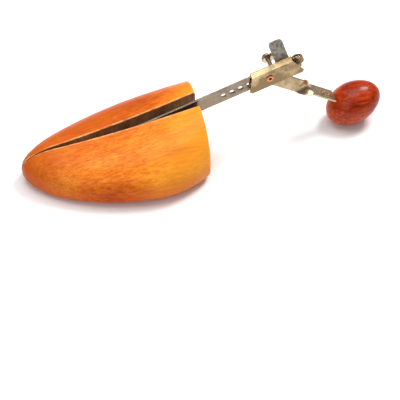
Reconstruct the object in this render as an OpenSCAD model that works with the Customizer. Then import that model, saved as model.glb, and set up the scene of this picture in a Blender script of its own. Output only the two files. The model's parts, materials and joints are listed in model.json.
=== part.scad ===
// Split-toe shoe tree: two hinged wooden toe halves, a perforated steel bar,
// a sliding housing with a lock pin, and a folding arm that carries an egg-shaped heel knob.
// +X runs from toe to heel, +Z is up, and the sole lies on Z = 0.

/* [Toe halves] */
// Length of the wooden toe piece
toe_len = 147; // [130:1:160]
// Widest reach of the outer (little toe) half from the split
outer_w = 51; // [46:0.5:53]
// Widest reach of the inner (big toe) half from the split
inner_w = 37.5; // [34:0.5:40]
// Height of the instep edge at the back
instep_h = 53.5; // [51:0.5:55]
// Width of the split at the back edge
split_back = 15; // [14:0.5:16]

/* [Bar] */
// Upward slope of the bar in degrees
bar_slope = 18.5; // [17:0.5:20]
// Height of the bar's centre line at the back of the toe piece
bar_z = 48.4; // [47:0.2:50]
// Height of the bar's section
bar_h = 13; // [12:0.5:13]
// Distance between adjusting holes
hole_pitch = 7.3; // [7:0.1:7.5]
// Distance from the back of the toe piece to the arm's pivot, along the bar
pin_s = 61; // [59:0.5:63]

/* [Arm and knob] */
// Downward slope of the folded arm in degrees
arm_drop = 33; // [31:0.2:35]
// Long half-axis of the knob
knob_a = 24; // [22:0.5:25]
// Short half-axis of the knob
knob_b = 17.5; // [16:0.5:18]
// Tilt of the knob's long axis from the arm in degrees
knob_tilt = 59.6; // [56:0.2:64]

/* [Hidden] */
$fn = 48;
eps = 0.01;

// Toe piece
stations = 30;
station_bias = 1.7;
arc_steps = 26;
hinge_x = 13;
split_front = 0.8;
split_share = 0.38; // part of the split on the outer half's side of the hinge

edge_round = 2;
outer_peak = 0.7;
inner_peak = 0.68;

// Toe hinge
knuckle_r = 2.5;
knuckle_z = [7, 12, 12.3, 16.7, 17, 22];
leaf_len = 17;
leaf_t = 1;
hinge_pin_r = 1.2;
run_clear = 0.06;
leaf_screw_x = [20, 26];
leaf_screw_z = 14.5;

// Spreading spring
spring_x = 112;
spring_z = 18;
spring_r = 3;
spring_wire = 0.5;
spring_turns = 6;
spring_seat = 5;
spring_ends = [-8, 11];
spring_end_gap = 0.7;

// Bar, in the bar's own frame: x along it from the back of the toe piece
bar_t = 2;
bar_y = -1.2;
bar_front = -108;
lock_s = pin_s + 4.5; // the lock pin stands this far along the bar, just past the pivot
bar_end = lock_s + 4;
hole_r = 2;
holes_front = 6;
bar_screw_s = [-104, -92];

// Slider housing
gap = 0.3;
sheet = 0.9;
arm_t = 1.5;
front_s = pin_s - 13.3;
web_len = 35;
wall_skirt = 6;
far_in = bar_y + bar_t / 2 + gap;
far_out = far_in + sheet;
arm_y = bar_y - bar_t / 2 - gap - arm_t / 2;
near_in = arm_y - arm_t / 2 - gap;
near_out = near_in - sheet;
web_in = bar_h / 2 + gap;
web_out = web_in + sheet;
skirt_z = -bar_h / 2 - 2;
rivet_s = front_s + 39;
lobe_r = 5;
eyelet_r = 2.5;
eyelet_flange = 0.5;
eyelet_bore = 1.2;

// Thumb tab, bow spring and lock pin
tab_t = 1;
tab_w = 11.5;
tab_reach = 19;
tab_lean = 63;
tab_corner = 3;
tab_shank_r = 1.5;
tab_s = front_s + 22;
tab_z = 5;
strip_t = 0.4;
strip_w = 5;
bow_out = 14.9;
pin_r = 1.9;
pin_back = far_in + 0.05;
pin_head_y = 15.5;

// Arm and knob
arm_h = 12.5;
twist_from = 31;
twist_len = 13;
arm_len = 68;
rod_r = 1.3;
rod_from = 50;
rivet_x = [56, 63];
rod_rivet_r = 1;
rod_depth = 6;
socket_room = 0.9;
socket_end = 15;
pivot = [toe_len + pin_s * cos(bar_slope), 0, bar_z + pin_s * sin(bar_slope)];
knob_lean = knob_tilt - arm_drop;
knob_low = norm([knob_a * sin(knob_lean), knob_b * cos(knob_lean)]);
knob_reach = norm([knob_a * cos(knob_lean), knob_b * sin(knob_lean)]);
knob_l = (pivot[2] - knob_low) / sin(arm_drop);

// Half width along the toe piece: a rounded toe up to the peak, then a gentle waist
function swell(v, p, q) = pow(1 - pow(1 - min(v, 1), p), 1 / q);
function waist(u, peak, c) = 1 - c * pow(max(0, (u - peak) / (1 - peak)), 2);
function outer_half_w(x) =
    outer_w * swell(x / toe_len / outer_peak, 1.8, 1.7) * waist(x / toe_len, outer_peak, 0.31);
function inner_half_w(x) =
    inner_w * swell(x / toe_len / inner_peak, 1.8, 1.7) * waist(x / toe_len, inner_peak, 0.12);

// Top and bottom of the section, and the width of the split
toe_nose = 11.5;
toe_box = 17.5;
toe_box_len = 28;
function top_z(x) = toe_nose + toe_box * sqrt(1 - pow(1 - min(x / toe_box_len, 1), 2))
    + (instep_h - toe_nose - toe_box) * pow(x / toe_len, 1.5);
belly = 0.36;
toe_spring = 9;
toe_spring_len = 25;
sole_cut = 1.3;
function bottom_z(x) = toe_spring * pow(max(0, 1 - x / toe_spring_len), 2) - sole_cut;
function split_w(x) = split_front
    + (split_back - split_front) * max(0, x - hinge_x) / (toe_len - hinge_x);
function split_y(x, side) = split_w(x) * (side < 0 ? -split_share : 1 - split_share);

// Stations crowd towards the toe, and the last ones round the back edge
function station_x() = concat(
    [for (i = [1 : stations]) (toe_len - edge_round) * pow(i / stations, station_bias)],
    [for (a = [30 : 30 : 90]) toe_len - edge_round * (1 - sin(a))]);
function shrink_at(x) = let (d = max(0, x - toe_len + edge_round) / edge_round)
    edge_round * (1 - sqrt(max(0, 1 - d * d)));

// One section of a half: from the sole at the split, round the side, to the ridge
function section(x, w, side) =
    let (s = shrink_at(x), zt = top_z(x) - s, zb = bottom_z(x) + s / 2,
        zc = zb + belly * (zt - zb), y0 = split_y(x, side), ww = w - s)
    [for (i = [0 : arc_steps])
        let (a = -90 + 180 * i / arc_steps, k = a < 0 ? 2 / 3.4 : 2 / 2.1,
            c = pow(abs(cos(a)), k), n = pow(abs(sin(a)), k))
        [x, y0 + side * ww * c, a < 0 ? max(0, zc - (zc - zb) * n) : zc + (zt - zc) * n]];

// A closed solid through rings of equal length
module skin(rings, flip) {
    n = len(rings[0]);
    m = len(rings);
    sides = [for (i = [0 : m - 2], j = [0 : n - 1])
        let (a = i * n + j, b = i * n + (j + 1) % n) each [[a, b, b + n], [a, b + n, a + n]]];
    caps = [[for (j = [n - 1 : -1 : 0]) j], [for (j = [0 : n - 1]) (m - 1) * n + j]];
    faces = concat(sides, caps);
    polyhedron([for (r = rings) each r],
        flip ? [for (f = faces) [for (k = [len(f) - 1 : -1 : 0]) f[k]]] : faces);
}

// The whole object is centred on its own length and width
half_y = [for (x = station_x()) [outer_half_w(x) - split_y(x, -1), inner_half_w(x) + split_y(x, 1)]];
y_low = -max([for (h = half_y) h[0]]);
y_high = max([for (h = half_y) h[1]]);
x_low = station_x()[0];
x_high = pivot[0] + knob_l * cos(arm_drop) + knob_reach;
module placed() translate([-(x_low + x_high) / 2, -(y_low + y_high) / 2, 0]) children();
module on_bar() translate([toe_len, 0, bar_z]) rotate([0, -bar_slope, 0]) children();
module on_arm() translate(pivot) rotate([0, arm_drop, 0]) children();

// A round bar along Y from y0 to y1
module rod_y(r, y0, y1) translate([0, y0, 0]) rotate([-90, 0, 0]) cylinder(r = r, h = y1 - y0);
// A countersunk screw whose head is flush at y = 0 and whose shank runs towards -Y
module flat_screw(head_r, shank_r, head_h, length) rotate([90, 0, 0]) {
    cylinder(r1 = head_r, r2 = shank_r, h = head_h);
    cylinder(r = shank_r, h = length);
}

module hinge_pocket(side) {
    translate([hinge_x, 0, knuckle_z[0] - 0.5])
        cylinder(r = knuckle_r + 0.5, h = knuckle_z[5] - knuckle_z[0] + 1);
    leaf_plate(side, 0, 1);
}

// The leaf lies flush in the split face and follows its taper; its pocket is cut a little proud of the face
function leaf_angle(side) =
    atan((split_y(toe_len, side) - split_y(hinge_x, side)) / (toe_len - hinge_x));
module leaf_plate(side, trim, proud)
    translate([hinge_x, split_y(hinge_x, side), knuckle_z[0]]) rotate([0, 0, leaf_angle(side)])
        translate([0, side > 0 ? -proud : -leaf_t, 0])
            cube([leaf_len - trim, leaf_t + proud, knuckle_z[5] - knuckle_z[0]]);

leaf_head_r = 1.9;
leaf_shank_r = 1;
leaf_head_h = 0.9;
leaf_screw_len = 7;
pilot_turn = 17;
eps_cut = 0.5;
module leaf_screw(length) flat_screw(leaf_head_r, leaf_shank_r, leaf_head_h, length);
module leaf_screw_places(side)
    for (x = leaf_screw_x) translate([x, split_y(x, side), leaf_screw_z])
        mirror([0, side > 0 ? 1 : 0, 0]) children();

bar_head_r = 2.6;
bar_neck_r = 1.6;
bar_head_h = 1.2;
bar_shank_r = 1.2;
bar_screw_len = 14;
bar_pilot = 16;
bar_slot = 0.6;
module bar_screw_head(length) flat_screw(bar_head_r, bar_neck_r, bar_head_h, length);
module bar_body(extra) translate([bar_front, bar_y - bar_t / 2, -bar_h / 2 - extra])
    cube([bar_end - bar_front, bar_t, bar_h + 2 * extra]);

module half_block(side) difference() {
    skin([for (x = station_x()) section(x, side < 0 ? outer_half_w(x) : inner_half_w(x), side)], side > 0);
    hinge_pocket(side);
    leaf_screw_places(side) rotate([0, pilot_turn, 0]) rod_y(leaf_shank_r, -leaf_screw_len, eps_cut);
    translate([spring_x, 0, spring_z]) rod_y(spring_r + spring_wire + 0.5,
        side > 0 ? 0 : spring_ends[0], side > 0 ? spring_ends[1] : 0);
}

module outer_toe_half() color("chocolate") placed() difference() {
    half_block(-1);
    on_bar() bar_body(gap);
    on_bar() for (s = bar_screw_s) translate([s, 0, 0]) rod_y(bar_shank_r, -bar_pilot, 0);
}

module inner_toe_half() color("chocolate") placed() half_block(1);

module knuckle(z0, z1) translate([hinge_x, 0, z0]) cylinder(r = knuckle_r, h = z1 - z0);
module knuckle_bore(r) translate([hinge_x, 0, 0]) cylinder(r = r, h = 40);
module knuckle_room(z0, z1)
    translate([hinge_x, 0, z0 - 0.3]) cylinder(r = knuckle_r + 0.4, h = z1 - z0 + 0.6);

module outer_hinge_leaf() color("silver") placed() difference() {
    union() {
        leaf_plate(-1, 0.2, 0);
        knuckle(knuckle_z[0], knuckle_z[1]);
        knuckle(knuckle_z[4], knuckle_z[5]);
    }
    knuckle_room(knuckle_z[2], knuckle_z[3]);
    knuckle_bore(hinge_pin_r);
    translate([hinge_x, 0.2, 0]) cube([leaf_len + 1, 6, 30]);
    leaf_screw_places(-1) leaf_screw(3);
}

module inner_hinge_leaf() color("silver") placed() difference() {
    union() {
        difference() {
            leaf_plate(1, 0.2, 0);
            knuckle_room(knuckle_z[0] - 1, knuckle_z[1]);
            knuckle_room(knuckle_z[4], knuckle_z[5] + 1);
        }
        knuckle(knuckle_z[2], knuckle_z[3]);
    }
    knuckle_bore(hinge_pin_r + run_clear);
    leaf_screw_places(1) leaf_screw(3);
}

module toe_hinge_pin() color("silver") placed()
    translate([hinge_x, 0, knuckle_z[0]]) cylinder(r = hinge_pin_r, h = knuckle_z[5] - knuckle_z[0]);

module outer_leaf_screws() color("silver") placed() leaf_screw_places(-1) leaf_screw(leaf_screw_len);
module inner_leaf_screws() color("silver") placed() leaf_screw_places(1) leaf_screw(leaf_screw_len);

// A coil spring across the split, seated in a blind pocket in each half
spring_steps = 14;
function coil_at(t) = let (a = 360 * spring_turns * t)
    [spring_r * cos(a), spring_ends[0] + spring_end_gap
        + t * (spring_ends[1] - spring_ends[0] - 2 * spring_end_gap), spring_r * sin(a)];
function coil_ring(t) = let (a = 360 * spring_turns * t, c = coil_at(t))
    [for (b = [0 : 60 : 300]) c + spring_wire * [cos(b) * cos(a), sin(b), cos(b) * sin(a)]];
module spread_spring() color("gainsboro") placed() translate([spring_x, 0, spring_z])
    skin([for (i = [0 : spring_turns * spring_steps]) coil_ring(i / spring_turns / spring_steps)], true);

module perforated_bar() color("tan") placed() on_bar() difference() {
    bar_body(0);
    for (k = [-holes_front : 0]) translate([lock_s + k * hole_pitch, 0, 0])
        rod_y(hole_r, bar_y - bar_t, bar_y + bar_t);
    for (s = bar_screw_s) translate([s, bar_y + bar_t / 2, 0]) bar_screw_head(bar_t + 1);
}

module bar_screws() color("silver") placed() on_bar()
    for (s = bar_screw_s) translate([s, bar_y + bar_t / 2, 0]) difference() {
        union() {
            bar_screw_head(bar_t);
            flat_screw(bar_shank_r, bar_shank_r, 1, bar_screw_len);
        }
        translate([-bar_slot / 2, -bar_slot, -3]) cube([bar_slot, 1, 6]);
    }

// Side wall of the housing: square under the web, with a longer foot at both ends
module wall(y0) translate([front_s, y0 + sheet, 0]) rotate([90, 0, 0]) linear_extrude(sheet)
    polygon([[0, web_out], [web_len, web_out], [web_len + wall_skirt, skirt_z + 2],
        [web_len + wall_skirt - 2, skirt_z], [-wall_skirt + 2, skirt_z], [-wall_skirt, skirt_z + 2]]);

module slider_housing() color("burlywood") placed() on_bar() difference() {
    union() {
        translate([front_s, near_out, web_in]) cube([web_len, far_out - near_out, sheet]);
        wall(near_out);
        wall(far_in);
        translate([rivet_s, 0, 0]) rod_y(lobe_r, far_in, far_out);
    }
    translate([pin_s, 0, 0]) rod_y(eyelet_r, near_out - 1, near_in + 0.1);
    translate([lock_s, 0, 0]) rod_y(pin_r + run_clear, far_in - 0.1, far_out + 1);
    translate([rivet_s, 0, 0]) rod_y(tab_shank_r, far_in - 0.1, far_out + 1);
}

module pivot_eyelet() color("peru") placed() on_bar() translate([pin_s, 0, 0]) difference() {
    union() {
        rod_y(eyelet_r, near_out - 0.8, arm_y + arm_t / 2);
        rod_y(eyelet_r + eyelet_flange, near_out - 0.8, near_out);
    }
    rod_y(eyelet_bore, near_out - 1, arm_y + arm_t);
}

// Thumb tab: a plate riveted to the far wall, with a round-cornered lug bent up and outwards
module tab_lug() translate([tab_s, far_out, tab_z]) rotate([tab_lean, 0, 0]) translate([0, 0, -tab_t]) {
    cube([tab_w, tab_reach - tab_corner, tab_t]);
    translate([tab_corner, 0, 0]) cube([tab_w - 2 * tab_corner, tab_reach, tab_t]);
    for (x = [tab_corner, tab_w - tab_corner]) translate([x, tab_reach - tab_corner, 0])
        cylinder(r = tab_corner, h = tab_t);
}

module thumb_tab() color("gray") placed() on_bar() difference() {
    union() {
        translate([tab_s, far_out, -4]) cube([tab_w, tab_t, tab_z + 4]);
        translate([tab_s + tab_w / 2, far_out, -4]) cube([rivet_s - tab_s - tab_w / 2, tab_t, 8]);
        translate([rivet_s, 0, 0]) rod_y(4, far_out, far_out + tab_t);
        tab_lug();
    }
    translate([rivet_s, 0, 0]) rod_y(tab_shank_r, far_out - 1, far_out + 3);
}

// Bow spring: flat at the rivet, then an arch out to the shank under the pin's head
bow_root = rivet_s + 3.5;
bow_start = rivet_s - 5;
bow_tip = lock_s - 4;
bow_steps = 18;
bow_base = far_out + tab_t;
function bow_y(s) = bow_base + (bow_out - bow_base)
    * sin(90 * pow(min(1, max(0, (bow_start - s) / (bow_start - lock_s))), 0.9));
bow_line = concat([[bow_root, bow_base]],
    [for (i = [0 : bow_steps]) let (s = bow_start + (bow_tip - bow_start) * i / bow_steps) [s, bow_y(s)]]);
module bow_spring() color("silver") placed() on_bar() difference() {
    translate([0, 0, -strip_w / 2]) linear_extrude(strip_w) polygon(concat(
        bow_line, [for (i = [len(bow_line) - 1 : -1 : 0]) bow_line[i] + [0, strip_t]]));
    translate([rivet_s, 0, 0]) rod_y(tab_shank_r, far_out, far_out + 3);
    translate([lock_s, 0, 0]) rod_y(pin_r + 0.2, far_out, pin_head_y + 1);
}

module tab_rivet() color("dimgray") placed() on_bar() translate([rivet_s, bow_base + strip_t, 0]) {
    rod_y(tab_shank_r, far_in - bow_base - strip_t, 0);
    rotate([-90, 0, 0]) rotate_extrude()
        polygon([[0, 0], [5, 0], [5, 0.9], [4.3, 1.6], [2.4, 2.1], [0, 2.2]]);
}

// Lock pin: a smooth shank with a slotted cheese head
module lock_pin() color("tan") placed() on_bar() translate([lock_s, 0, 0]) difference() {
    union() {
        rod_y(pin_r, pin_back, pin_head_y);
        translate([0, pin_head_y, 0]) rotate([-90, 0, 0]) rotate_extrude()
            polygon([[0, 0], [4.8, 0], [5, 0.4], [5, 1.6], [4.4, 2.3], [2.2, 2.6], [0, 2.7]]);
    }
    translate([-6, pin_head_y + 1.7, -0.5]) cube([12, 2, 1]);
}

// Arm: a strip on edge beside the bar, twisted a quarter turn to lie flat above the rod
module heel_arm() color("rosybrown") placed() on_arm() difference() {
    union() {
        rod_y(arm_h / 2, arm_y - arm_t / 2, arm_y + arm_t / 2);
        translate([0, arm_y - arm_t / 2, -arm_h / 2]) cube([twist_from, arm_t, arm_h]);
        translate([twist_from - eps, arm_y, 0]) rotate([90, 0, 90])
            linear_extrude(twist_len + 2 * eps, twist = 90, slices = 24)
                square([arm_t, arm_h], center = true);
        translate([twist_from + twist_len, arm_y - arm_h / 2, -arm_t / 2])
            cube([arm_len - twist_from - twist_len, arm_h, arm_t]);
    }
    rod_y(eyelet_r + run_clear, near_out - 2, bar_y);
    for (x = rivet_x) translate([x, arm_y, -2]) cylinder(r = rod_rivet_r, h = 4);
}

module heel_rod() color("rosybrown") placed() on_arm()
    translate([rod_from, arm_y, -arm_t / 2 - rod_r]) rotate([0, 90, 0]) difference() {
        cylinder(r = rod_r, h = knob_l + rod_depth - rod_from);
        for (x = rivet_x) translate([-3, 0, x - rod_from]) rotate([0, 90, 0]) cylinder(r = rod_rivet_r, h = 6);
    }

module rod_rivets() color("peru") placed() on_arm() for (x = rivet_x) translate([x, arm_y, 0]) {
    translate([0, 0, -arm_t / 2 - 2 * rod_r]) cylinder(r = rod_rivet_r, h = arm_t + 2 * rod_r);
    translate([0, 0, arm_t / 2]) rotate_extrude() polygon([[0, 0], [1.8, 0], [1.5, 0.6], [0, 0.9]]);
}

module heel_knob() color("firebrick") placed() on_arm() difference() {
    translate([knob_l, arm_y, 0]) rotate([0, -knob_tilt, 0]) rotate([0, 90, 0])
        rotate_extrude() polygon([for (a = [-90 : 5 : 90]) [knob_b * cos(a), knob_a * sin(a)]]);
    translate([rod_from, arm_y, -arm_t / 2 - rod_r]) rotate([0, 90, 0])
        cylinder(r = rod_r, h = knob_l + rod_depth - rod_from);
    translate([rod_from, arm_y, -arm_t / 2 - rod_r]) rotate([0, 90, 0])
        cylinder(r = rod_r + socket_room, h = knob_l - rod_from - socket_end);
}

outer_toe_half();
inner_toe_half();
outer_hinge_leaf();
inner_hinge_leaf();
toe_hinge_pin();
outer_leaf_screws();
inner_leaf_screws();
spread_spring();
perforated_bar();
bar_screws();
slider_housing();
pivot_eyelet();
thumb_tab();
bow_spring();
tab_rivet();
lock_pin();
heel_arm();
heel_rod();
rod_rivets();
heel_knob();
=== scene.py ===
"""A split-toe wooden shoe tree: smooth turned wood and worn plated steel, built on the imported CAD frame."""
import json
import math

import bpy
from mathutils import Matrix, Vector

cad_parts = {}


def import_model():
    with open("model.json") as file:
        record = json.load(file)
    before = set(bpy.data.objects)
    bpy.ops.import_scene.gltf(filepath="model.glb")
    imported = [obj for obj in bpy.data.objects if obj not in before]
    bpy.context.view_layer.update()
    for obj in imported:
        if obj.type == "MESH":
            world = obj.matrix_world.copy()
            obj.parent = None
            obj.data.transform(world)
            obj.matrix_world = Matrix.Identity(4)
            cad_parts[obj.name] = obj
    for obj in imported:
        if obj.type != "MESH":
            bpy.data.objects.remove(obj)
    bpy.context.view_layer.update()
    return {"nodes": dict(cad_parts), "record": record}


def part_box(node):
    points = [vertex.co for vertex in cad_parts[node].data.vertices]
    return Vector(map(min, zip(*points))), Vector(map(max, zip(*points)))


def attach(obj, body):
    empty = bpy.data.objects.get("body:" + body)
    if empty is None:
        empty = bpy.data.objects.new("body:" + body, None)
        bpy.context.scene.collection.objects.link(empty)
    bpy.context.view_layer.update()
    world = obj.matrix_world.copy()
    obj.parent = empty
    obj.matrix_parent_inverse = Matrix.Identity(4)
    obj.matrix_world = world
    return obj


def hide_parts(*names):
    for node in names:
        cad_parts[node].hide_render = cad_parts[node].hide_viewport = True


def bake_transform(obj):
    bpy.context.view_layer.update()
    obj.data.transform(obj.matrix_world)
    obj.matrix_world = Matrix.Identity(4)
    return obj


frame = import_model()

MM = 0.001

# ---------------------------------------------------------------- the frame's own places

pin_low, pin_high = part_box("toe_hinge_pin")
HINGE_X_MM = 13.0
SHIFT = Vector((pin_low.x + pin_high.x, pin_low.y + pin_high.y, 0)) / 2 - Vector((HINGE_X_MM * MM, 0, 0))


def placed(x, y, z):
    """A point given in millimetres from the toe piece's own front, in the row frame."""
    return SHIFT + Vector((x, y, z)) * MM


# ---------------------------------------------------------------- wooden toe halves

TOE_LEN = 147.0
OUTER_W = 51.0
INNER_W = 37.5
INSTEP_H = 53.5
# Where each half is widest, as a share of its length, and how far its waist draws in behind that
OUTER_PEAK = 0.7
OUTER_WAIST = 0.31
INNER_PEAK = 0.68
INNER_WAIST = 0.12
SWELL_POWERS = (1.8, 1 / 1.7)
TOE_NOSE = 11.5
TOE_BOX = 17.5
TOE_BOX_LEN = 28.0
INSTEP_POWER = 1.5
TOE_SPRING = 9.0
TOE_SPRING_LEN = 25.0
SOLE_CUT = 1.3
# The section is widest at this share of its height, with a squarer curve below and a rounder one above
BELLY = 0.36
SOLE_POWER = 2 / 3.4
TOP_POWER = 2 / 2.1
SPLIT_FRONT = 0.8
SPLIT_BACK = 15.0
SPLIT_SHARE = 0.38
BACK_ROUND = 2.0
NOSE_ROUND = 2.4
NOSE_NARROW = 0.75
NOSE_FLAT = 0.45
NOSE_SHIFT = 0.1
EDGE_ROUND = 0.6
RIDGE_WEAR = 1.0
SOLE_WEAR = 0.7
# The smooth skin stays this far inside the CAD half, and its split face this far behind the hinge leaves
SKIN_IN = 0.06
LEAF_PROUD = 0.1
STATIONS = 110
STATION_BIAS = 1.7
ARC_STEPS = 72
CORNER_STEPS = 5
X_FIRST = (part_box("inner_toe_half")[0].x - SHIFT.x) / MM


def swell(v):
    return (1 - (1 - min(v, 1)) ** SWELL_POWERS[0]) ** SWELL_POWERS[1]


def waist(u, peak, cut):
    return 1 - cut * max(0.0, (u - peak) / (1 - peak)) ** 2


def half_width(x, side):
    u = x / TOE_LEN
    if side < 0:
        return OUTER_W * swell(u / OUTER_PEAK) * waist(u, OUTER_PEAK, OUTER_WAIST)
    return INNER_W * swell(u / INNER_PEAK) * waist(u, INNER_PEAK, INNER_WAIST)


def top_z(x):
    box = math.sqrt(max(0.0, 1 - (1 - min(x / TOE_BOX_LEN, 1)) ** 2))
    return TOE_NOSE + TOE_BOX * box + (INSTEP_H - TOE_NOSE - TOE_BOX) * (x / TOE_LEN) ** INSTEP_POWER


def bottom_z(x):
    return TOE_SPRING * max(0.0, 1 - x / TOE_SPRING_LEN) ** 2 - SOLE_CUT


def split_reach(x, side):
    """How far a half's split face stands from the hinge's plane."""
    behind = max(0.0, x - HINGE_X_MM) / (TOE_LEN - HINGE_X_MM)
    width = SPLIT_FRONT + (SPLIT_BACK - SPLIT_FRONT) * behind
    return width * (SPLIT_SHARE if side < 0 else 1 - SPLIT_SHARE)


def round_in(distance, radius):
    """How far a section draws in at this distance before a rounded end."""
    d = min(1.0, max(0.0, 1 - distance / radius))
    return radius * (1 - math.sqrt(max(0.0, 1 - d * d)))


def station_list():
    reach = TOE_LEN - BACK_ROUND - X_FIRST
    body = [X_FIRST + reach * (i / STATIONS) ** STATION_BIAS for i in range(1, STATIONS)]
    back = [TOE_LEN - BACK_ROUND * (1 - math.sin(math.radians(a))) for a in range(0, 91, 10)]
    return [X_FIRST] + body + back


def ring(x, side):
    """One section of a half, its wear, and how many of its points are the outer curve. After the curve
    come the ridge corner and the sole corner, with the split face between them."""
    shrink = round_in(TOE_LEN - x, BACK_ROUND)
    nose = round_in(x - X_FIRST, NOSE_ROUND) / NOSE_ROUND
    high, low = top_z(x) - shrink, bottom_z(x) + shrink / 2
    wide = half_width(x, side) - shrink - SKIN_IN - LEAF_PROUD
    mid = low + BELLY * (high - low)
    y_split = split_reach(x, side) + LEAF_PROUD
    points = []
    for i in range(ARC_STEPS + 1):
        a = math.radians(-90 + 180 * i / ARC_STEPS)
        power = SOLE_POWER if a < 0 else TOP_POWER
        out = abs(math.cos(a)) ** power
        up = abs(math.sin(a)) ** power
        z = mid - (mid - low) * up if a < 0 else mid + (high - mid) * up
        points.append((y_split + wide * out, max(0.0, z)))
    corner = min(EDGE_ROUND, wide * 0.3)
    ground = max(0.0, low)
    top = [(corner * (1 - math.sin(t)), corner * (1 - math.cos(t))) for t in corner_angles()]
    curve = [p for p in points if p[0] > y_split + corner]
    ridge = [(y_split + dy, high - dz) for dy, dz in top]
    sole = [(y_split + dy, ground + dz) for dy, dz in reversed(top)]
    outline = curve + ridge + sole
    wear = [0.0] * len(curve) + [RIDGE_WEAR] * len(ridge) + [SOLE_WEAR] * len(sole)
    centre_z = (high + ground) / 2
    keep = 1 - NOSE_NARROW * nose
    spots = [(y_split + (y - y_split) * keep + wide * NOSE_SHIFT * nose * (y > y_split),
              centre_z + (z - centre_z) * (1 - NOSE_FLAT * nose)) for y, z in outline]
    return [placed(x, side * y, z) for y, z in spots], wear, len(curve)


def corner_angles():
    return [math.pi / 2 * i / CORNER_STEPS for i in range(CORNER_STEPS + 1)]


def resampled(points, count):
    """The same open line with this many evenly spaced points."""
    lengths = [0.0]
    for a, b in zip(points, points[1:]):
        lengths.append(lengths[-1] + (b - a).length)
    out, k = [], 0
    for i in range(count):
        want = lengths[-1] * i / (count - 1)
        while k < len(points) - 2 and lengths[k + 1] < want:
            k += 1
        span = lengths[k + 1] - lengths[k]
        out.append(points[k].lerp(points[k + 1], (want - lengths[k]) / span if span > 0 else 0.0))
    return out


def toe_half(name, side, body, node, materials):
    """A smooth toe half. Faces of the split side take the second material."""
    xs = station_list()
    verts, wears, rings = [], [], []
    for x in xs:
        spots, wear, n_curve = ring(x, side)
        curve = resampled(spots[:n_curve], ARC_STEPS)
        rest = spots[n_curve:]
        start = len(verts)
        verts += curve + rest
        wears += [0.0] * ARC_STEPS + wear[n_curve:]
        rings.append(range(start, len(verts)))
    faces, indices = [], []
    count = len(rings[0])
    split_from = ARC_STEPS + CORNER_STEPS
    for low, high in zip(rings, rings[1:]):
        for j in range(count):
            k = (j + 1) % count
            quad = [low[j], low[k], high[k], high[j]]
            faces.append(quad if side < 0 else quad[::-1])
            indices.append(1 if j == split_from else 0)
    faces += [list(rings[0]) if side > 0 else list(rings[0])[::-1]]
    faces += [list(rings[-1])[::-1] if side > 0 else list(rings[-1])]
    indices += [0, 0]
    obj = new_mesh(name, verts, faces, materials, indices)
    attribute = obj.data.attributes.new("wear", "FLOAT", "POINT")
    attribute.data.foreach_set("value", wears)
    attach(obj, body)
    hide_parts(node)
    return obj


def new_mesh(name, verts, faces, materials, indices=None, smooth_angle=38):
    mesh = bpy.data.meshes.new(name)
    mesh.from_pydata([tuple(v) for v in verts], [], faces)
    mesh.update()
    for material in materials:
        mesh.materials.append(material)
    if indices:
        mesh.polygons.foreach_set("material_index", indices)
    mesh.polygons.foreach_set("use_smooth", [True] * len(mesh.polygons))
    mesh.set_sharp_from_angle(angle=math.radians(smooth_angle))
    obj = bpy.data.objects.new(name, mesh)
    bpy.context.scene.collection.objects.link(obj)
    return obj


# ---------------------------------------------------------------- egg-shaped knob

KNOB_A = 24.0
KNOB_B = 17.5
KNOB_TILT = 59.6
ARM_DROP = 33.0
KNOB_RINGS = 64
KNOB_SPOKES = 96
EGG = 0.055
EGG_SHIFT = 0.5


def knob(name, material):
    """A turned egg about the CAD knob's own centre, its long axis leaning up from the arm."""
    low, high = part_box("heel_knob")
    centre = (low + high) / 2
    lean = math.radians(KNOB_TILT - ARM_DROP)
    along = Vector((math.cos(lean), 0, math.sin(lean)))
    side = Vector((0, 1, 0))
    up = side.cross(along)
    verts = [centre - along * KNOB_A * MM]
    for i in range(1, KNOB_RINGS):
        a = math.pi * i / KNOB_RINGS - math.pi / 2
        radius = KNOB_B * math.cos(a) * (1 - EGG * math.sin(a) ** 2 - EGG * math.sin(a) * EGG_SHIFT) * MM
        for j in range(KNOB_SPOKES):
            b = 2 * math.pi * j / KNOB_SPOKES
            verts.append(centre + along * KNOB_A * MM * math.sin(a)
                         + (side * math.cos(b) + up * math.sin(b)) * radius)
    verts.append(centre + along * KNOB_A * MM)
    last = len(verts) - 1
    faces = []
    for j in range(KNOB_SPOKES):
        k = (j + 1) % KNOB_SPOKES
        faces.append((0, 1 + k, 1 + j))
        for i in range(KNOB_RINGS - 2):
            base = 1 + i * KNOB_SPOKES
            faces.append((base + j, base + k, base + KNOB_SPOKES + k, base + KNOB_SPOKES + j))
        base = last - KNOB_SPOKES
        faces.append((base + j, base + k, last))
    obj = new_mesh(name, verts, faces, [material])
    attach(obj, "heel")
    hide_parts("heel_knob")
    return obj


# ---------------------------------------------------------------- materials


def add(tree, kind, inputs=None, **settings):
    """A node with its settings, and its inputs set to values or linked to sockets."""
    node = tree.nodes.new(kind)
    for key, value in settings.items():
        setattr(node, key, value)
    for key, value in (inputs or {}).items():
        if isinstance(value, bpy.types.NodeSocket):
            tree.links.new(value, node.inputs[key])
        else:
            node.inputs[key].default_value = value
    return node


def start(name, metallic, roughness, coat=0.0, coat_roughness=0.1, specular=0.5):
    material = bpy.data.materials.new(name)
    material.use_nodes = True
    tree = material.node_tree
    shader = tree.nodes["Principled BSDF"]
    shader.inputs["Metallic"].default_value = metallic
    shader.inputs["Roughness"].default_value = roughness
    shader.inputs["Coat Weight"].default_value = coat
    shader.inputs["Coat Roughness"].default_value = coat_roughness
    shader.inputs["Specular IOR Level"].default_value = specular
    return material, tree, shader


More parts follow.
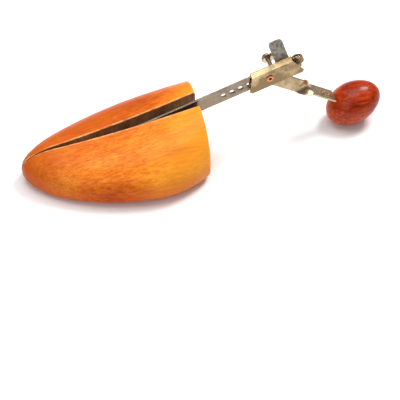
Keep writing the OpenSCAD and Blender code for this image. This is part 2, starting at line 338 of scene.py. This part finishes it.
def noise(tree, where, scale, stretch=(1, 1, 1), turn=(0, 0, 0), detail=4.0, rough=0.55, twist=0.0):
    mapped = add(tree, "ShaderNodeMapping", {"Vector": where, "Scale": stretch, "Rotation": turn})
    return add(tree, "ShaderNodeTexNoise", {
        "Vector": mapped.outputs["Vector"], "Scale": scale, "Detail": detail,
        "Roughness": rough, "Distortion": twist}).outputs["Fac"]


def ramp(tree, fac, stops):
    node = add(tree, "ShaderNodeValToRGB", {"Fac": fac})
    elements = node.color_ramp.elements
    while len(elements) < len(stops):
        elements.new(0.5)
    for element, (position, colour) in zip(elements, stops):
        element.position = position
        element.color = (*colour, 1)
    return node.outputs["Color"]


def band(tree, value, low, high, to_low=0.0, to_high=1.0):
    """The value's place between low and high, as a number between to_low and to_high."""
    return add(tree, "ShaderNodeMapRange", {
        "Value": value, "From Min": low, "From Max": high,
        "To Min": to_low, "To Max": to_high}).outputs["Result"]


def blend(tree, fac, a, b, how="MIX"):
    node = tree.nodes.new("ShaderNodeMix")
    node.data_type = "RGBA"
    node.blend_type = how
    for socket, value in ((node.inputs[0], fac), (node.inputs[6], a), (node.inputs[7], b)):
        if isinstance(value, bpy.types.NodeSocket):
            tree.links.new(value, socket)
        else:
            socket.default_value = (*value, 1) if isinstance(value, tuple) else value
    return node.outputs[2]


def maths(tree, a, b, how="MULTIPLY"):
    """Two values or sockets through a maths node."""
    return add(tree, "ShaderNodeMath", {0: a, 1: b}, operation=how).outputs[0]


def wood(name, dark, mid, light, blotch, turn=(0, 0, 0), coat=0.5, roughness=(0.26, 0.42), specular=0.3,
         tones_and_painted_light=None, wear=None):
    """Stained and varnished hardwood: long fibres, fine pores, soft bands, darker patches and rubbed edges.
    The tones setting paints a darker red-brown towards the toe, which spreads over the inner half as painted
    shade, a painted highlight over the outer half's back and painted shade towards the sole."""
    material, tree, shader = start(name, 0.0, 0.35, coat, 0.15, specular)
    where = add(tree, "ShaderNodeTexCoord").outputs["Object"]
    fibre = noise(tree, where, 60.0, (0.35, 9.0, 9.0), turn, 6.0, 0.6)
    bands = noise(tree, where, 16.0, (0.35, 3.2, 3.2), turn, 3.0, 0.5, 0.6)
    pores = noise(tree, where, 900.0, (0.28, 1.0, 1.0), turn, 2.0, 0.5)
    patch = noise(tree, where, 42.0, (1, 1, 1), turn, 5.0, 0.6)
    cloud = noise(tree, where, 20.0, (0.8, 1, 1), turn, 3.0, 0.5)
    grain = maths(tree, maths(tree, fibre, 0.36), maths(tree, bands, 0.12), "ADD")
    grain = maths(tree, grain, maths(tree, cloud, 0.52), "ADD")
    colour = ramp(tree, grain, [(0.36, dark), (0.48, mid), (0.62, light)])
    colour = blend(tree, band(tree, patch, 0.54, 0.72, 0.0, 0.3), colour, blotch)
    colour = blend(tree, band(tree, pores, 0.5, 0.72, 0.0, 0.6), colour, dark)
    if tones_and_painted_light:
        place = add(tree, "ShaderNodeSeparateXYZ", {"Vector": where}).outputs
        # Darker red-brown towards the toe; the Y term spreads it over the inner half as painted shade.
        front = maths(tree, place["X"], maths(tree, place["Y"], 2.3), "SUBTRACT")
        colour = blend(tree, band(tree, front, *tones_and_painted_light["toe_tone_and_shade_span"], 0.8, 0.0), colour, tones_and_painted_light["toe"])
        # Painted highlight: lighter towards the back, mostly on the outer half.
        back = maths(tree, place["X"], maths(tree, place["Y"], 0.6), "SUBTRACT")
        colour = blend(tree, band(tree, back, *tones_and_painted_light["back_highlight_span"], 0.0, 0.6), colour, tones_and_painted_light["back"])
        # Painted shade: darker and redder towards the sole.
        colour = blend(tree, band(tree, place["Z"], 0.0, 0.026, 0.75, 0.0), colour, tones_and_painted_light["sole"])
    if wear:
        rub = add(tree, "ShaderNodeAttribute", attribute_name="wear").outputs["Fac"]
        broken = band(tree, noise(tree, where, 160.0, detail=5.0), 0.4, 0.62, 0.1, 0.85)
        colour = blend(tree, maths(tree, rub, broken), colour, wear)
    tree.links.new(colour, shader.inputs["Base Color"])
    gloss = noise(tree, where, 70.0, detail=5.0)
    tree.links.new(band(tree, gloss, 0.3, 0.7, *roughness), shader.inputs["Roughness"])
    height = maths(tree, maths(tree, fibre, 0.7), maths(tree, pores, -0.5), "ADD")
    bump = add(tree, "ShaderNodeBump", {"Height": height, "Strength": 0.22, "Distance": 0.0004})
    tree.links.new(bump.outputs["Normal"], shader.inputs["Normal"])
    return material


def sawn_wood(name):
    """The split face: darker brown stain over straight saw marks."""
    material, tree, shader = start(name, 0.0, 0.55, 0.1, 0.3)
    where = add(tree, "ShaderNodeTexCoord").outputs["Object"]
    saw = noise(tree, where, 90.0, (9.0, 1.0, 0.5), (0, 0.35, 0), 4.0, 0.6)
    patch = noise(tree, where, 38.0, detail=6.0)
    colour = ramp(tree, patch, [(0.32, (0.11, 0.038, 0.014)), (0.5, (0.32, 0.125, 0.042)),
                                (0.68, (0.50, 0.23, 0.085))])
    colour = blend(tree, band(tree, saw, 0.4, 0.65, 0.0, 0.5), colour, (0.09, 0.03, 0.012))
    tree.links.new(colour, shader.inputs["Base Color"])
    tree.links.new(band(tree, patch, 0.3, 0.7, 0.45, 0.65), shader.inputs["Roughness"])
    bump = add(tree, "ShaderNodeBump", {"Height": saw, "Strength": 0.5, "Distance": 0.0004})
    tree.links.new(bump.outputs["Normal"], shader.inputs["Normal"])
    return material


def metal(name, bright, tarnish_and_shade, roughness=(0.22, 0.42), patches=90.0, cover=(0.5, 0.72), speck=0.3,
          stretch=(0.06, 1, 1), turn=(0, 0, 0), bump=0.15, painted_side_shade=0.0):
    """Worn plated steel: drawn streaks, dulled patches and small dark specks. The last setting paints shade
    on faces that look along Y by pulling them towards the dark tarnish colour."""
    material, tree, shader = start(name, 1.0, 0.3)
    where = add(tree, "ShaderNodeTexCoord").outputs["Object"]
    streak = noise(tree, where, 1500.0, stretch, turn, 3.0, 0.6)
    dull = noise(tree, where, patches, detail=6.0, rough=0.65)
    dots = noise(tree, where, 620.0, detail=2.0)
    tarnish_and_side_shade = dull
    # Painted shade: faces that look along Y take more of the tarnish colour.
    if painted_side_shade:
        facing = add(tree, "ShaderNodeTexCoord").outputs["Normal"]
        across = add(tree, "ShaderNodeSeparateXYZ", {"Vector": facing}).outputs["Y"]
        sideways = maths(tree, across, 0.0, "ABSOLUTE")
        tarnish_and_side_shade = maths(tree, dull, maths(tree, sideways, painted_side_shade), "ADD")
    colour = blend(tree, band(tree, tarnish_and_side_shade, cover[0], cover[1], 0.0, 0.85), bright, tarnish_and_shade)
    colour = blend(tree, band(tree, dots, 0.6, 0.7, 0.0, speck), colour, tuple(c * 0.2 for c in tarnish_and_shade))
    tree.links.new(colour, shader.inputs["Base Color"])
    mixed = maths(tree, maths(tree, dull, 0.6), maths(tree, streak, 0.4), "ADD")
    tree.links.new(band(tree, mixed, 0.35, 0.65, *roughness), shader.inputs["Roughness"])
    relief = add(tree, "ShaderNodeBump", {"Height": streak, "Strength": bump, "Distance": 0.0002})
    tree.links.new(relief.outputs["Normal"], shader.inputs["Normal"])
    return material


BAR_SLOPE = 18.5
BAR_TURN = (0, math.radians(BAR_SLOPE), 0)
ARM_TURN = (0, math.radians(-ARM_DROP), 0)
TOE_X = SHIFT.x

# The toe colour also lies over the inner half as painted shade, the back colour is a painted highlight and
# the sole colour is painted shade.
toe_wood = wood("toe_wood", (0.38, 0.054, 0.005), (0.77, 0.185, 0.012), (0.95, 0.38, 0.038),
                (0.38, 0.058, 0.007), coat=0.06, specular=0.08, wear=(0.86, 0.48, 0.20),
                tones_and_painted_light={"toe_tone_and_shade_span": (TOE_X + 0.004, TOE_X + 0.120), "toe": (0.47, 0.070, 0.008),
                       "back_highlight_span": (TOE_X + 0.108, TOE_X + 0.160), "back": (0.96, 0.40, 0.030),
                       "sole": (0.52, 0.045, 0.001)})
split_wood = sawn_wood("toe_wood_split")
knob_wood = wood("knob_wood", (0.10, 0.007, 0.002), (0.40, 0.034, 0.004), (0.72, 0.125, 0.013),
                 (0.08, 0.008, 0.003), (0, math.radians(KNOB_TILT - ARM_DROP), 0), coat=0.15,
                 roughness=(0.2, 0.34), specular=0.12)

bar_steel = metal("bar_steel", (0.27, 0.215, 0.155), (0.09, 0.066, 0.044), (0.18, 0.42), 90.0,
                  turn=BAR_TURN)
# Its walls that look along Y carry painted shade.
plated_sheet = metal("plated_sheet", (0.66, 0.49, 0.27), (0.14, 0.09, 0.045), (0.10, 0.30), 45.0,
                     (0.50, 0.74), turn=BAR_TURN, painted_side_shade=0.22)
grained_steel = metal("grained_steel", (0.60, 0.55, 0.48), (0.22, 0.19, 0.15), (0.36, 0.58), 420.0,
                      (0.42, 0.6), 0.6, (1, 1, 1), bump=0.5)
arm_steel = metal("arm_steel", (0.52, 0.39, 0.23), (0.16, 0.105, 0.06), (0.22, 0.42), 60.0, (0.44, 0.66),
                  turn=ARM_TURN)
pin_steel = metal("pin_steel", (0.45, 0.35, 0.23), (0.15, 0.10, 0.06), (0.16, 0.36), 260.0)
spring_steel = metal("spring_steel", (0.56, 0.48, 0.34), (0.20, 0.15, 0.10), (0.12, 0.3), 150.0,
                     turn=BAR_TURN)
dark_steel = metal("dark_steel", (0.22, 0.17, 0.12), (0.06, 0.045, 0.03), (0.3, 0.5), 300.0)
copper = metal("copper", (0.60, 0.25, 0.11), (0.20, 0.07, 0.03), (0.28, 0.48), 320.0)
hardware = metal("hardware", (0.60, 0.57, 0.52), (0.30, 0.27, 0.23), (0.25, 0.45), 240.0)

FINISH = {
    "bar_steel": bar_steel, "plated_sheet": plated_sheet, "grained_steel": grained_steel,
    "arm_steel": arm_steel, "pin_steel": pin_steel, "spring_steel": spring_steel,
    "dark_steel": dark_steel, "copper": copper, "hardware": hardware,
    "toe_wood": toe_wood, "knob_wood": knob_wood,
}
# Width in millimetres of the rounded edge on the steel pieces that show
SOFT_EDGE = {
    "perforated_bar": 0.25, "slider_housing": 0.2, "thumb_tab": 0.25, "heel_arm": 0.25,
    "lock_pin": 0.15, "pivot_eyelet": 0.15, "tab_rivet": 0.15, "rod_rivets": 0.12,
}


def finish_cad_nodes():
    """Every CAD node takes its slot's material, and the steel ones a small rounded edge for the light."""
    for part in frame["record"]["subparts"]:
        obj = frame["nodes"][part["node"]]
        obj.data.materials.clear()
        obj.data.materials.append(FINISH[part["material_slot"]])
        if part["node"] in SOFT_EDGE:
            weld = obj.modifiers.new("weld", "WELD")
            weld.merge_threshold = 0.002 * MM
            bevel = obj.modifiers.new("edge", "BEVEL")
            bevel.width = SOFT_EDGE[part["node"]] * MM
            bevel.segments = 2
            bevel.limit_method = "ANGLE"
            bevel.angle_limit = math.radians(40)
            normals = obj.modifiers.new("normals", "WEIGHTED_NORMAL")
            normals.keep_sharp = False


def bow_strip():
    """A copy of the bow spring's CAD node, baked in place, stands in for the hidden node. The direction from
    the rivet to the pin is worked out but not used.
    """
    node = frame["nodes"]["bow_spring"]
    bpy.context.view_layer.update()
    obj = bpy.data.objects.new("bow_strip", node.data.copy())
    obj.matrix_world = node.matrix_world.copy()
    bpy.context.scene.collection.objects.link(obj)
    pin, rivet = (sum(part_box(name), Vector()) / 2 for name in ("lock_pin", "tab_rivet"))
    along = pin - rivet
    along.y = 0
    along.normalize()
    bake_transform(obj)
    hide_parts("bow_spring")


finish_cad_nodes()
bow_strip()
toe_half("outer_half_wood", -1, "toe_outer", "outer_toe_half", [toe_wood, split_wood])
toe_half("inner_half_wood", 1, "toe_inner", "inner_toe_half", [toe_wood, split_wood])
knob("knob_egg", knob_wood)

# ---------------------------------------------------------------- floor, light and camera


def floor():
    material, tree, shader = start("floor", 0.0, 0.7)
    shader.inputs["Base Color"].default_value = (0.93, 0.93, 0.93, 1)
    size = 6.0
    obj = new_mesh("floor", [(-size, -size, 0), (size, -size, 0), (size, size, 0), (-size, size, 0)],
                   [(0, 1, 2, 3)], [material])
    obj.location.z = -0.0002


def area_light(name, where, power, size, target=(0, 0, 0.02)):
    data = bpy.data.lights.new(name, "AREA")
    data.energy = power
    data.shape = "DISK"
    data.size = size
    obj = bpy.data.objects.new(name, data)
    obj.location = where
    obj.rotation_euler = (Vector(target) - Vector(where)).to_track_quat("-Z", "Y").to_euler()
    bpy.context.scene.collection.objects.link(obj)


def world():
    """A white studio ceiling that falls to a mid grey at the horizon, for the metal to reflect."""
    data = bpy.data.worlds.new("studio")
    data.use_nodes = True
    tree = data.node_tree
    sky = add(tree, "ShaderNodeTexCoord").outputs["Generated"]
    up = add(tree, "ShaderNodeSeparateXYZ", {0: sky}).outputs["Z"]
    colour = ramp(tree, up, [(0.0, (0.34, 0.335, 0.33)), (0.35, (0.42, 0.415, 0.41)), (0.9, (1, 1, 1))])
    background = tree.nodes["Background"]
    tree.links.new(colour, background.inputs["Color"])
    background.inputs["Strength"].default_value = 0.42
    bpy.context.scene.world = data


AZIMUTH = math.radians(-15)
ELEVATION = math.radians(50.3)
LENS = 110.0
SENSOR = 36.0
VIEW_WIDTH = 0.320
AIM = placed(133.2, -57.6, 0)


def camera():
    data = bpy.data.cameras.new("camera")
    data.lens = LENS
    data.sensor_width = SENSOR
    back = Vector((math.sin(AZIMUTH) * math.cos(ELEVATION), -math.cos(AZIMUTH) * math.cos(ELEVATION),
                   math.sin(ELEVATION)))
    obj = bpy.data.objects.new("camera", data)
    obj.location = AIM + back * VIEW_WIDTH * LENS / SENSOR
    obj.rotation_euler = (-back).to_track_quat("-Z", "Y").to_euler()
    data.clip_start = 0.01
    data.clip_end = 20
    bpy.context.scene.collection.objects.link(obj)
    bpy.context.scene.camera = obj


bpy.context.scene.view_settings.view_transform = "Standard"
floor()
world()
area_light("key", (0.62, 0.30, 1.05), 13.0, 0.55)
area_light("top", (-0.10, 0.10, 1.35), 9.5, 1.0)
area_light("fill", (-0.80, -0.75, 0.80), 4.0, 1.0)
area_light("web_glint", (-0.34, 0.74, 0.92), 0.6, 0.34, (0.07, 0, 0.07))
camera()
